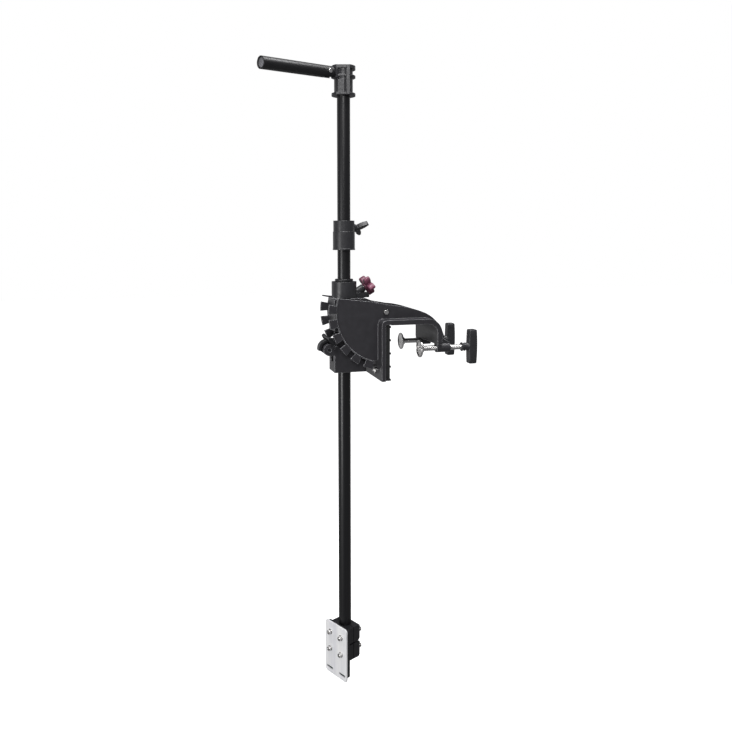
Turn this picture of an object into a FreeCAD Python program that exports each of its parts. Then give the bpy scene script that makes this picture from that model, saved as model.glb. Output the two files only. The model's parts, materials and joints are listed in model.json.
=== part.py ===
import FreeCAD, Part
import math
import os
import re
from types import SimpleNamespace

from FreeCAD import Placement, Rotation, Vector

# Transom-clamp sonar transducer pole on a tilting clamp bracket.
# Frame: +X inboard (towards the clamp screws), +Z up, Y across the boat's transom.
# Origin: the inner top corner of the transom, under the saddle and against the pad ribs.

os.makedirs("parts", exist_ok=True)
doc = FreeCAD.newDocument("transducer_pole")
sheet = doc.addObject("Spreadsheet::Sheet", "dims")

DIMENSIONS = {
    # pole
    "shaft_dia": 28.6, "shaft_wall": 2.1, "shaft_x": -88.0, "shaft_top": 549.0, "shaft_foot": -782.0,
    "pole_yaw": 27.0, "running_gap": 0.1, "plug_deep": 14.0,
    # clamp bracket
    "cheek_inner": 37.0, "cheek_outer": 42.0, "saddle_half": 72.0, "saddle_thick": 11.0,
    "plate_back": -22.0, "plate_front": -13.0, "plate_foot": -123.0, "leg_inner": 107.0,
    "leg_foot": -47.0, "corner_bend": 22.0, "back_bend": 12.0,
    "pivot_x": -4.0, "pivot_z": 26.0, "sector_rad": 129.0, "rim_rad": 111.0, "rim_raise": 1.5,
    "notch_rad": 113.0, "notch_wide": 12.6, "notch_first": -11.5, "notch_step": 15.0, "notches": 6, "web_back": 48.0,
    "sector_top": 15.5, "sector_end": 76.0, "boss_rad": 10.0, "boss_end": 139.0,
    "screw_side": 60.0, "screw_z": -55.5, "insert_rad": 8.0, "pad_half": 69.0, "pad_base": 10.0,
    "rib_deep": 3.0, "rib_tall": 4.0, "rib_pitch": 29.0, "pad_screw_rad": 3.0, "pad_low_side": 33.0, "pad_low_z": -104.0,
    "pad_high_side": 50.0, "pad_high_z": -18.0, "pad_nut_flats": 12.0, "pad_nut_thick": 6.0, "blind_wall": 2.0,
    "pad_relief": 1.0, "rib_clear": 0.5, "pad_ribs": 5,
    # pivot bolt
    "bolt_rad": 3.0, "hex_flats": 10.0, "hex_thick": 4.5, "washer_rad": 7.0, "washer_thick": 1.0,
    "spacer_rad": 9.0, "barrel_rad": 5.0,
    # clamp screws
    "rod_rad": 6.0, "rod_start": 71.6, "rod_end": 186.0, "disc_rad": 19.5, "disc_thick": 4.0,
    "disc_x": 67.0, "socket_rad": 9.0, "socket_long": 6.0, "hub_rad": 10.0, "hub_start": 168.0,
    "grip_x": 184.0, "grip_wide": 20.0, "grip_deep": 18.0, "grip_tall": 77.0, "grip_round": 4.5,
    "far_turned_in": 3.0, "cross_pin_rad": 2.0,
    # hinge housing
    "block_half": 26.0, "block_front": -116.0, "block_heel": -44.0, "block_foot": -107.0,
    "deck_z": 56.0, "deck_thick": 10.0, "block_wall": 6.0, "arm_rad": 13.0, "ear_inner": 12.0,
    "ear_rad": 13.0, "lower_bush_rad": 18.0, "lower_bush_long": 22.0, "flange_thick": 3.0,
    "stop_z": -99.0, "stop_rad": 3.0, "saddle_gap": 5.0,
    # steering cup and tension screw
    "cup_rad": 27.5, "cup_top": 92.5, "bush_rad": 18.5, "bush_flange_rad": 20.0, "bush_top": 98.0,
    "tension_angle": 30.0, "tension_yaw": 10.0, "tension_z": 60.7, "tension_boss_rad": 9.0,
    "tension_insert_rad": 6.5, "tension_stud_rad": 4.0, "knob_thick": 15.0, "knob_core_rad": 15.0,
    "lobe_rad": 7.2, "lobe_circle": 16.2, "knob_start": 37.5, "shelf_end": 57.0, "shelf_half": 11.0,
    "shelf_thick": 11.0, "cup_screw_rad": 2.0, "cup_screw_circle": 23.2,
    # latch
    "latch_reach": 148.0, "latch_angle": 33.5, "latch_pin_rad": 4.0, "latch_pin_long": 48.0,
    "lever_inner": 14.5, "lever_outer": 20.5, "lever_half": 10.0, "lever_hub_rad": 8.5,
    "lever_hub_half": 8.0, "lock_rad": 4.5, "lock_reach": 134.5, "yoke_inner": 28.5,
    "yoke_thick": 5.0, "lock_end": 45.5, "yoke_arm": 20.5, "yoke_rod_rad": 3.0,
    # head cap and handle
    "cap_foot": 493.0, "cap_top": 555.3, "cap_core_rad": 20.2, "cap_flange_rad": 25.9,
    "cap_flange": 4.0, "cap_crown": 7.0, "cap_middle": 531.1, "cap_flat": 21.5, "cap_pad_half": 7.2,
    "cap_rib_in": 7.7, "cap_rib_out": 15.5, "socket_end": 28.0, "socket_half": 8.0, "socket_tall": 10.0,
    "handle_pivot": 47.6, "handle_z": 537.3, "handle_droop": 2.6, "handle_rad": 12.7,
    "handle_wall": 2.5, "handle_start": -13.1, "handle_long": 180.0, "tongue_half": 5.0,
    "tongue_rad": 7.0, "fold_slot_half": 5.6, "handle_screw_rad": 3.0,
    # depth collar and wing screw
    "collar_rad": 24.1, "collar_foot": 162.0, "collar_ledge": 202.0, "collar_top": 226.0,
    "collar_upper_rad": 23.2, "wing_z": 210.0, "wing_boss_rad": 9.0, "wing_boss_end": 31.5,
    "wing_insert_rad": 5.0, "wing_stud_rad": 2.5, "wing_hub_rad": 6.0, "wing_hub_long": 9.0,
    "wing_thick": 10.0, "wing_flare": 40.0, "wing_reach": 29.0, "wing_wide": 12.0, "wing_roll": 38.0,
    # transducer plate and shaft clamps
    "mount_half": 37.0, "mount_top": -694.0, "mount_foot": -819.0, "mount_face": 28.5,
    "mount_thick": 3.5, "backing_thick": 8.0, "backing_half": 36.4, "backing_foot": -812.0,
    "screw_column": 18.6, "upper_row": -718.0, "lower_row": -758.0, "clamp_tall": 36.0,
    "clamp_half": 29.0, "clamp_back": 26.0, "clamp_split": 0.75, "m6_rad": 3.0, "cap_head_rad": 5.0,
    "cap_head_tall": 6.0, "m6_washer_rad": 6.25, "slot_z": -806.5, "slot_side": 21.5,
    "slot_long": 22.0, "slot_wide": 6.0, "corner_rad": 7.0, "clamp_round": 11.0,
}

for row, (alias, number) in enumerate(DIMENSIONS.items(), start=1):
    sheet.set(f"A{row}", str(number))
    sheet.setAlias(f"A{row}", alias)
doc.recompute()

ALONG_X, ALONG_Y, UP = Vector(1, 0, 0), Vector(0, 1, 0), Vector(0, 0, 1)
WORLD = Placement()
SIDES = (-1, 1)

# the sheet's values, for places and outlines
d = SimpleNamespace(**{alias: float(sheet.get(alias)) for alias in DIMENSIONS})


def bound(text):
    return re.sub(r"[a-z][a-z0-9_]+", lambda word: "dims." + word.group(0), text)


def bind(obj, **sizes):
    for prop, text in sizes.items():
        obj.setExpression(prop, bound(text))
    return obj


def cylinder(name, radius, height, at, axis=UP, frame=WORLD):
    obj = bind(doc.addObject("Part::Cylinder", name), Radius=radius, Height=height)
    obj.Placement = frame * Placement(at, Rotation(UP, axis))
    return obj


def box(name, length, width, height, corner, frame=WORLD):
    obj = bind(doc.addObject("Part::Box", name), Length=length, Width=width, Height=height)
    obj.Placement = frame * Placement(corner, Rotation())
    return obj


def hexagon(name, flats, height, at, axis=UP, frame=WORLD):
    obj = bind(doc.addObject("Part::Prism", name), Circumradius=f"{flats} / 1.7320508", Height=height)
    obj.Polygon = 6
    obj.Placement = frame * Placement(at, Rotation(UP, axis))
    return obj


def fuse(name, members):
    obj = doc.addObject("Part::MultiFuse", name)
    obj.Shapes = members
    return obj


def cut(name, base, tools):
    obj = doc.addObject("Part::Cut", name)
    obj.Base = base
    obj.Tool = tools[0] if len(tools) == 1 else fuse(name + "_tools", tools)
    return obj


def group(name, members):
    obj = doc.addObject("Part::Compound", name)
    obj.Links = members
    return obj


def tube(name, radius, bore, height, at, axis=UP, frame=WORLD):
    outer = cylinder(name + "_outer", radius, height, at, axis, frame)
    inner = cylinder(name + "_bore", bore, height, at, axis, frame)
    return cut(name, outer, [inner])


def add_outline(sketch, start, steps):
    """Closed outline: each step is an end point, or a middle and an end point for an arc."""
    here = Vector(*start, 0)
    first = here
    for step in steps:
        end = Vector(*step[-1], 0)
        if len(step) == 2:
            sketch.addGeometry(Part.Arc(here, Vector(*step[0], 0), end), False)
        else:
            sketch.addGeometry(Part.LineSegment(here, end), False)
        here = end
    if (here - first).Length > 1e-6:
        sketch.addGeometry(Part.LineSegment(here, first), False)


def side_prism(name, width, start, steps, middle_y=0.0):
    """Pad of an outline drawn in X and Z, half of its width to each side of middle_y."""
    body = doc.addObject("PartDesign::Body", name + "_body")
    sketch = body.newObject("Sketcher::SketchObject", name + "_sketch")
    plane = next(f for f in body.Origin.OriginFeatures if f.Role == "XZ_Plane")
    sketch.AttachmentSupport = [(plane, "")]
    sketch.MapMode = "FlatFace"
    add_outline(sketch, start, steps)
    pad = body.newObject("PartDesign::Pad", name + "_pad")
    pad.Profile = sketch
    pad.SideType = "Symmetric"
    bind(pad, Length=width)
    body.Placement = Placement(Vector(0, middle_y, 0), Rotation())
    return body


def polar(cx, cz, radius, degrees):
    """Point at an angle measured downwards from the -X direction."""
    turn = math.radians(degrees)
    return (cx - radius * math.cos(turn), cz - radius * math.sin(turn))


def label(obj, name):
    obj.Label = name
    PIECES.append((name, obj))


PIECES = []
POLE = Placement(Vector(d.shaft_x, 0, 0), Rotation(UP, 180 + d.pole_yaw))
COLLAR = Placement(Vector(d.shaft_x, 0, 0), Rotation(UP, d.pole_yaw))
TENSION = Placement(Vector(d.shaft_x, 0, 0), Rotation(UP, d.tension_yaw))
CAP_FACE = Placement(Vector(d.shaft_x, 0, 0), Rotation(UP, 180 + d.pole_yaw + 45))


def arc_points(cx, cz, radius, start, end):
    """Middle and end point of an arc about (cx, cz), angles measured downwards from -X."""
    return (polar(cx, cz, radius, (start + end) / 2), polar(cx, cz, radius, end))


def clamp_bracket():
    """One casting: two notched cheeks, the saddle over the transom and the clamp leg."""
    top = polar(d.pivot_x, d.pivot_z, d.sector_rad, -d.sector_top)
    rim_end = polar(d.pivot_x, d.pivot_z, d.sector_rad, d.sector_end)
    bend_x = d.leg_inner - d.corner_bend
    crown, nose_x, nose_z = (90, 21), d.leg_inner + 28, -35
    mid = d.saddle_thick / 2
    cheeks = side_prism("cheeks", "cheek_outer * 2", top, [
        ((-40, 50),),
        ((20, 39),),
        ((57, 32.6), crown),
        ((117, 0), (nose_x, nose_z)),
        ((d.leg_inner + mid, d.leg_foot),),
        ((d.leg_inner + mid, -d.corner_bend),),
        ((bend_x + 19.4, -2.6), (bend_x, mid)),
        ((d.plate_back + 5, mid),),
        ((d.plate_back + 5, -78),),
        (polar(d.pivot_x, d.pivot_z, d.rim_rad, d.sector_end),),
        (rim_end,),
        arc_points(d.pivot_x, d.pivot_z, d.sector_rad, d.sector_end, -d.sector_top),
    ])
    inside = side_prism("between_cheeks", "cheek_inner * 2", (-160, -140), [
        ((d.plate_back, -140),),
        ((d.plate_back, d.saddle_thick),),
        ((bend_x, d.saddle_thick),),
        ((bend_x, 17),),
        ((57, 27),),
        ((d.web_back, 28.3),),
        ((d.web_back, 100),),
        ((-160, 100),),
    ])
    saddle = side_prism("saddle", "saddle_half * 2", (d.plate_back, d.plate_foot), [
        ((d.plate_back, d.saddle_thick - d.back_bend),),
        ((d.plate_back + 3.5, d.saddle_thick - 3.5), (d.plate_back + d.back_bend, d.saddle_thick)),
        ((bend_x, d.saddle_thick),),
        arc_points(bend_x, -d.corner_bend, d.corner_bend + d.saddle_thick, 270, 180),
        ((d.leg_inner + d.saddle_thick, d.leg_foot),),
        ((d.leg_inner, d.leg_foot),),
        ((d.leg_inner, -d.corner_bend),),
        arc_points(bend_x, -d.corner_bend, d.corner_bend, 180, 270),
        ((-d.rib_clear, 0),),
        ((-d.rib_clear, d.pad_relief),),
        ((d.plate_front, d.pad_relief),),
        ((d.plate_front, d.plate_foot),),
    ])
    members = [cut("hollow_cheeks", cheeks, [inside]), saddle]
    tools = [cylinder("pivot_hole", "bolt_rad + 0.2", "saddle_half * 2",
                      Vector(d.pivot_x, -d.saddle_half, d.pivot_z), ALONG_Y)]
    for side in SIDES:
        members.append(raised_rim(side))
        members += clamp_boss(side)
        tools.append(cylinder("insert_seat", "insert_rad + 0.02", "boss_end - leg_inner",
                              Vector(d.leg_inner, side * d.screw_side, d.screw_z), ALONG_X))
    for spot in pad_screw_spots(d.plate_back - 1, d.plate_back + d.blind_wall):
        tools.append(cylinder("plate_hole", "pad_screw_rad + 0.05", "plate_front - plate_back + 2", spot, ALONG_X))
    for index in range(int(d.notches)):
        tools.append(notch(d.notch_first + index * d.notch_step))
    label(cut("bracket_cut", fuse("bracket_body", members), tools), "clamp_bracket")


def raised_rim(side):
    """The toothed band stands a little proud of each cheek's outer face."""
    start, end = -d.sector_top, d.sector_end
    body = side_prism("rim", "rim_raise + 1", polar(d.pivot_x, d.pivot_z, d.rim_rad, start), [
        (polar(d.pivot_x, d.pivot_z, d.sector_rad, start),),
        arc_points(d.pivot_x, d.pivot_z, d.sector_rad, start, end),
        (polar(d.pivot_x, d.pivot_z, d.rim_rad, end),),
        arc_points(d.pivot_x, d.pivot_z, d.rim_rad, end, start),
    ], side * (d.cheek_outer + (d.rim_raise - 1) / 2))
    return body


def clamp_boss(side):
    """Threaded boss at the foot of the leg with the rib that braces it."""
    at = Vector(d.leg_inner, side * d.screw_side, d.screw_z)
    boss = cylinder("boss", "boss_rad", "boss_end - leg_inner", at, ALONG_X)
    root = box("boss_root", "saddle_thick", "boss_rad * 2", "leg_foot - screw_z",
               Vector(d.leg_inner, side * d.screw_side - d.boss_rad, d.screw_z))
    back = d.leg_inner + d.saddle_thick - 1
    rib = side_prism("boss_rib", "boss_rad * 0.6", (back, d.screw_z + 6), [
        ((d.boss_end - 2, d.screw_z + 6),),
        ((d.boss_end - 2, d.screw_z + d.boss_rad + 3),),
        ((back, d.leg_foot + 16),),
    ], side * d.screw_side)
    return [boss, root, rib]


def notch(degrees):
    """Radial slot through both cheeks for the lock pins."""
    outer = polar(d.pivot_x, d.pivot_z, d.notch_rad, degrees)
    slot = box("notch", "sector_rad - notch_rad + 8", "cheek_outer * 2 + 20", "notch_wide", Vector())
    turn = Rotation(ALONG_Y, 180 - degrees)
    reach = turn.multVec(Vector(0, 0, d.notch_wide / 2))
    slot.Placement = Placement(Vector(outer[0], -d.cheek_outer - 10, outer[1]) - reach, turn)
    return slot


def transom_pad():
    """Rubber pad with cross ribs that bear on the transom's outer face."""
    steps = []
    foot = d.plate_foot + 1
    face = -d.rib_clear
    for index in range(int(d.pad_ribs)):
        low = foot + index * d.rib_pitch
        steps += [((face, low),), ((face, low + d.rib_tall),), ((-d.rib_deep, low + d.rib_tall),)]
        if index < d.pad_ribs - 1:
            steps.append(((-d.rib_deep, low + d.rib_pitch),))
    steps += [((-d.rib_deep, 0),), ((d.plate_front, 0),)]
    pad = side_prism("pad", "pad_half * 2", (d.plate_front, foot), steps)
    heads = [cylinder("pad_hole", "pad_screw_rad + 0.05", "pad_base + 1", spot, ALONG_X)
             for spot in pad_screw_spots(d.plate_front, d.plate_front)]
    label(cut("pad_drilled", pad, heads), "transom_pad")


def pad_screw_spots(low_x, high_x):
    """Places of the low pair, which goes right through the plate, and of the blind high pair."""
    places = ((low_x, d.pad_low_side, d.pad_low_z), (high_x, d.pad_high_side, d.pad_high_z))
    return [Vector(at_x, sign * side, row) for sign in SIDES for at_x, side, row in places]


def pad_screws():
    """Four screws set in the pad, with hex nuts for the low pair on the back of the transom plate."""
    screws, nuts = [], []
    for spot in pad_screw_spots(d.plate_back - d.pad_nut_thick - 3, d.plate_back + d.blind_wall):
        reach = f"plate_front + pad_base - 2 - ({spot.x})"
        screws.append(cylinder("pad_screw", "pad_screw_rad", reach, spot, ALONG_X))
    for side in SIDES:
        spot = Vector(d.plate_back - d.pad_nut_thick, side * d.pad_low_side, d.pad_low_z)
        bore = cylinder("pad_nut_bore", "pad_screw_rad", "pad_nut_thick", spot, ALONG_X)
        nuts.append(cut("pad_nut", hexagon("pad_nut_hex", "pad_nut_flats", "pad_nut_thick", spot, ALONG_X), [bore]))
    label(group("pad_screw_set", screws), "pad_screws")
    label(group("pad_nut_set", nuts), "pad_nuts")


def pivot_hardware():
    """Bolt, nut, washers and the flanged spacer bushes of the tilt pivot."""
    face = d.cheek_outer
    head = Vector(d.pivot_x, -face - d.washer_thick - d.hex_thick, d.pivot_z)
    shank = cylinder("pivot_shank", "bolt_rad", "cheek_outer * 2 + 2 * washer_thick + 2 * hex_thick + 2",
                     head, ALONG_Y)
    label(fuse("pivot_bolt_body", [shank, hexagon("pivot_head", "hex_flats", "hex_thick", head, ALONG_Y)]),
          "pivot_bolt")
    nut_at = Vector(d.pivot_x, face + d.washer_thick, d.pivot_z)
    bore = cylinder("pivot_nut_bore", "bolt_rad", "hex_thick", nut_at, ALONG_Y)
    label(cut("pivot_nut_body", hexagon("pivot_nut_hex", "hex_flats", "hex_thick", nut_at, ALONG_Y), [bore]),
          "pivot_nut")
    near = Vector(d.pivot_x, -face - d.washer_thick, d.pivot_z)
    far = Vector(d.pivot_x, face, d.pivot_z)
    label(group("pivot_washer_pair", [tube("pivot_washer", "washer_rad", "bolt_rad + 0.05", "washer_thick",
                                           spot, ALONG_Y) for spot in (near, far)]), "pivot_washers")
    bushes = []
    for side in SIDES:
        across = Vector(0, side, 0)
        flange = cylinder("spacer_flange", "spacer_rad", "cheek_inner - block_half - 0.2",
                          Vector(d.pivot_x, side * d.block_half, d.pivot_z), across)
        barrel = cylinder("spacer_barrel", "barrel_rad", "10",
                          Vector(d.pivot_x, side * (d.block_half - 9.9), d.pivot_z), across)
        bore = cylinder("spacer_bore", "bolt_rad + running_gap", "cheek_inner - block_half + 12",
                        Vector(d.pivot_x, side * (d.block_half - 11), d.pivot_z), across)
        bushes.append(cut("spacer", fuse("spacer_solid", [flange, barrel]), [bore]))
    label(group("pivot_bush_pair", bushes), "pivot_bushes")


def clamp_screws():
    """Two T-handled screws, each with its cross pin, threaded insert and swivel disc."""
    inserts = []
    for side, word in ((-1, "near"), (1, "far")):
        shift = -d.far_turned_in if side > 0 else 0.0
        line = Vector(0, side * d.screw_side, d.screw_z)
        inserts.append(tube("insert", "insert_rad", "rod_rad + running_gap", "boss_end - leg_inner",
                            line + Vector(d.leg_inner, 0, 0), ALONG_X))
        rod = cylinder("rod", "rod_rad", "rod_end - rod_start", line + Vector(d.rod_start + shift, 0, 0), ALONG_X)
        pin_at = line + Vector(d.hub_start + 8 + shift, 0, -d.hub_rad)
        pin = cylinder("cross_hole", "cross_pin_rad + 0.02", "hub_rad * 2", pin_at)
        label(cut("rod_drilled", rod, [pin]), f"clamp_screw_{word}")
        label(cylinder("cross_pin", "cross_pin_rad", "hub_rad * 2 - 0.6", pin_at + Vector(0, 0, 0.3)),
              f"handle_pin_{word}")
        label(t_handle(line, shift, pin_at), f"clamp_handle_{word}")
        label(clamp_disc(line, shift), f"clamp_disc_{word}")
    label(group("insert_pair", inserts), "clamp_inserts")


def t_handle(line, shift, pin_at):
    hub = cylinder("handle_hub", "hub_rad", "grip_x - hub_start + 6", line + Vector(d.hub_start + shift, 0, 0),
                   ALONG_X)
    bar = box("handle_bar", "grip_wide", "grip_deep", "grip_tall",
              line + Vector(d.grip_x + shift, -d.grip_deep / 2, -d.grip_tall / 2))
    rounded = doc.addObject("Part::Fillet", "handle_bar_round")
    rounded.Base = bar
    doc.recompute()
    rounded.Edges = [(number, d.grip_round, d.grip_round) for number in range(1, len(bar.Shape.Edges) + 1)]
    bore = cylinder("handle_bore", "rod_rad + 0.02", "rod_end - hub_start + 1.2",
                    line + Vector(d.hub_start - 1 + shift, 0, 0), ALONG_X)
    hole = cylinder("handle_cross", "cross_pin_rad + 0.02", "hub_rad * 2 + 2", pin_at - Vector(0, 0, 1))
    return cut("handle_drilled", fuse("handle_solid", [hub, rounded]), [bore, hole])


def clamp_disc(line, shift):
    start = line + Vector(d.disc_x + shift, 0, 0)
    plate = cylinder("disc_plate", "disc_rad", "disc_thick", start, ALONG_X)
    socket = cylinder("disc_socket", "socket_rad", "disc_thick + socket_long", start, ALONG_X)
    bore = cylinder("disc_bore", "rod_rad + 0.3", "socket_long + 1", start + Vector(d.disc_thick, 0, 0), ALONG_X)
    return cut("disc_bored", fuse("disc_solid", [plate, socket]), [bore])


def latch_centre():
    return polar(d.pivot_x, d.pivot_z, d.latch_reach, d.latch_angle)


def hinge_housing():
    """Tilting block: hollow, with the shaft's bores, the arm to the pivot and the latch ears."""
    arm_low = (d.pivot_x - d.arm_rad * 0.6, d.pivot_z - d.arm_rad * 0.8)
    arm_high = (d.pivot_x + d.arm_rad * 0.28, d.pivot_z + d.arm_rad * 0.96)
    block = side_prism("block", "block_half * 2", (d.block_front, d.block_foot), [
        ((d.block_heel, d.block_foot),),
        ((d.block_heel, -24),),
        ((d.plate_back - d.saddle_gap, 0),),
        ((d.plate_back - 1, d.saddle_thick),),
        (arm_low,),
        ((d.pivot_x + d.arm_rad, d.pivot_z), arm_high),
        ((d.block_heel, d.deck_z),),
        ((d.block_front, d.deck_z),),
    ])
    centre_x, centre_z = latch_centre()
    members = [block]
    for side in SIDES:
        across = Vector(0, side, 0)
        start = Vector(centre_x, side * d.ear_inner, centre_z)
        members.append(cylinder("ear", "ear_rad", "block_half - ear_inner", start, across))
        members.append(box("ear_root", f"block_front - ({centre_x}) + 4", "block_half - ear_inner", "ear_rad * 2",
                           Vector(centre_x, d.ear_inner if side > 0 else -d.block_half, centre_z - d.ear_rad)))
    hollow_foot = d.block_foot + 12
    hollow = box("block_hollow", "block_heel - block_front - 2 * block_wall", "(block_half - block_wall) * 2",
                 "deck_z - deck_thick - block_foot - 12",
                 Vector(d.block_front + d.block_wall, d.block_wall - d.block_half, hollow_foot))
    slot = box("latch_slot", "block_wall + 16", "(ear_inner - 1) * 2", "60",
               Vector(d.block_front - 8, 1 - d.ear_inner, centre_z - 30))
    groove_z = centre_z + d.yoke_arm - 1
    groove = box("yoke_groove", "block_wall + 5", "block_half * 2 + 2", "lock_reach - notch_rad",
                 Vector(d.block_front - 1, -d.block_half - 1, groove_z))
    tools = [
        hollow,
        slot,
        groove,
        cylinder("foot_bore", "lower_bush_rad + 0.02", "20", Vector(d.shaft_x, 0, d.block_foot - 1)),
        cylinder("deck_bore", "shaft_dia / 2 + 2", "deck_thick + 4", Vector(d.shaft_x, 0, d.deck_z - d.deck_thick - 2)),
        cylinder("ear_bore", "latch_pin_rad + 0.02", "block_half * 2 + 2",
                 Vector(centre_x, -d.block_half - 1, centre_z), ALONG_Y),
        cylinder("arm_bore", "barrel_rad + 0.02", "block_half * 2 + 2",
                 Vector(d.pivot_x, -d.block_half - 1, d.pivot_z), ALONG_Y),
        cylinder("stop_bore", "stop_rad + 0.02", "block_wall + 20",
                 Vector(d.block_heel - 14, 0, d.stop_z), ALONG_X),
    ]
    for spot in cup_screw_spots(d.deck_z - d.deck_thick):
        tools.append(cylinder("deck_screw_hole", "cup_screw_rad + 0.02", "deck_thick + 1", spot))
    label(cut("housing_cut", fuse("housing_solid", members), tools), "hinge_housing")


def cup_screw_spots(at_z):
    spots = []
    for index in range(4):
        turn = math.radians(45 + 90 * index)
        spots.append(Vector(d.shaft_x + d.cup_screw_circle * math.cos(turn),
                            d.cup_screw_circle * math.sin(turn), at_z))
    return spots


def stop_screw():
    """Screw and lock nut in the housing's heel that meet the transom plate and set the rake."""
    reach = Vector(d.block_heel - 10, 0, d.stop_z)
    shank = cylinder("stop_shank", "stop_rad", "plate_back - block_heel + 9", reach, ALONG_X)
    label(shank, "tilt_stop_screw")
    nut_at = Vector(d.block_heel, 0, d.stop_z)
    bore = cylinder("stop_nut_bore", "stop_rad", "hex_thick", nut_at, ALONG_X)
    label(cut("stop_nut_body", hexagon("stop_nut_hex", "hex_flats", "hex_thick", nut_at, ALONG_X), [bore]),
          "tilt_stop_nut")


def tension_line():
    """Start on the bush's side of the cup and direction of the sloping tension screw."""
    turn = math.radians(d.tension_angle)
    start = TENSION.multVec(Vector(d.bush_rad + 0.1, 0, d.tension_z))
    return start, TENSION.Rotation.multVec(Vector(math.cos(turn), 0, math.sin(turn)))


def steering_cup():
    """Cup on the housing's deck: it carries the steering bush and the tension screw's boss."""
    start, along = tension_line()
    wall = cylinder("cup_wall", "cup_rad", "cup_top - deck_z", Vector(d.shaft_x, 0, d.deck_z))
    shelf = box("cup_shelf", "shelf_end - cup_rad + 3.5", "shelf_half * 2", "shelf_thick",
                Vector(d.cup_rad - 3.5, -d.shelf_half, d.deck_z), TENSION)
    boss = cylinder("tension_boss", "tension_boss_rad", "24", start + along * 8, along)
    tools = [
        cylinder("cup_bore", "bush_rad + running_gap", "cup_top - deck_z + 2", Vector(d.shaft_x, 0, d.deck_z - 1)),
        cylinder("tension_seat", "tension_insert_rad + 0.02", "40", start + along * 5.5, along),
        cylinder("tension_window", "tension_insert_rad - 1.5", "20", start - along * 8, along),
    ]
    for spot in cup_screw_spots(d.deck_z - 1):
        tools.append(cylinder("cup_screw_hole", "cup_screw_rad + 0.02", "9", spot))
    label(cut("cup_cut", fuse("cup_solid", [wall, shelf, boss]), tools), "steering_cup")
    label(group("cup_screw_set", [cylinder("cup_screw", "cup_screw_rad", "16", spot)
                                  for spot in cup_screw_spots(d.deck_z - 9)]), "cup_screws")


def tension_screw():
    """Insert, stud, star knob and the shoe that presses on the steering bush."""
    start, along = tension_line()
    label(tube("tension_insert_body", "tension_insert_rad", "tension_stud_rad + running_gap", "26",
               start + along * 5.6, along), "tension_insert")
    label(cylinder("tension_shoe_body", "tension_stud_rad - 0.2", "3", start + along * 3.2, along), "tension_shoe")
    label(cylinder("tension_stud_body", "tension_stud_rad", "knob_start + knob_thick - 2 - 6.4",
                   start + along * 6.4, along), "tension_stud")
    core = cylinder("knob_core", "knob_core_rad", "knob_thick", start + along * d.knob_start, along)
    neck = cylinder("knob_neck", "knob_core_rad / 2 + 1", "knob_thick + 3", start + along * (d.knob_start - 3), along)
    side = TENSION.Rotation.multVec(ALONG_Y)
    up = along.cross(side)
    lobes = []
    for index in range(5):
        turn = math.radians(90 + 72 * index)
        out = side * (d.lobe_circle * math.cos(turn)) + up * (d.lobe_circle * math.sin(turn))
        lobes.append(cylinder("knob_lobe", "lobe_rad", "knob_thick - 1", start + along * (d.knob_start + 0.5) + out,
                              along))
    bore = cylinder("knob_bore", "tension_stud_rad", "knob_thick + 1.2", start + along * (d.knob_start - 3.2), along)
    label(cut("knob_bored", fuse("knob_solid", [core, neck] + lobes), [bore]), "tension_knob")


def bushes():
    """Steering bush that turns in the cup with the shaft, and the fixed bush in the block's foot."""
    foot = Vector(d.shaft_x, 0, d.deck_z + 0.5)
    barrel = cylinder("bush_barrel", "bush_rad", "bush_top - deck_z - 0.5", foot)
    flange = cylinder("bush_flange", "bush_flange_rad", "bush_top - cup_top - 0.5",
                      Vector(d.shaft_x, 0, d.cup_top + 0.5))
    bore = cylinder("bush_bore", "shaft_dia / 2 + running_gap", "bush_top - deck_z + 2", foot - UP)
    label(cut("bush_bored", fuse("bush_solid", [barrel, flange]), [bore]), "steering_bush")
    low = Vector(d.shaft_x, 0, d.block_foot + 0.5)
    sleeve = cylinder("sleeve", "lower_bush_rad", "12", low)
    collar = cylinder("sleeve_collar", "lower_bush_rad + 1.5", "flange_thick", Vector(d.shaft_x, 0, d.block_foot + 12.1))
    hole = cylinder("sleeve_bore", "shaft_dia / 2 + running_gap", "20", low - UP)
    label(cut("sleeve_bored", fuse("sleeve_solid", [sleeve, collar]), [hole]), "lower_bush")


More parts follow.
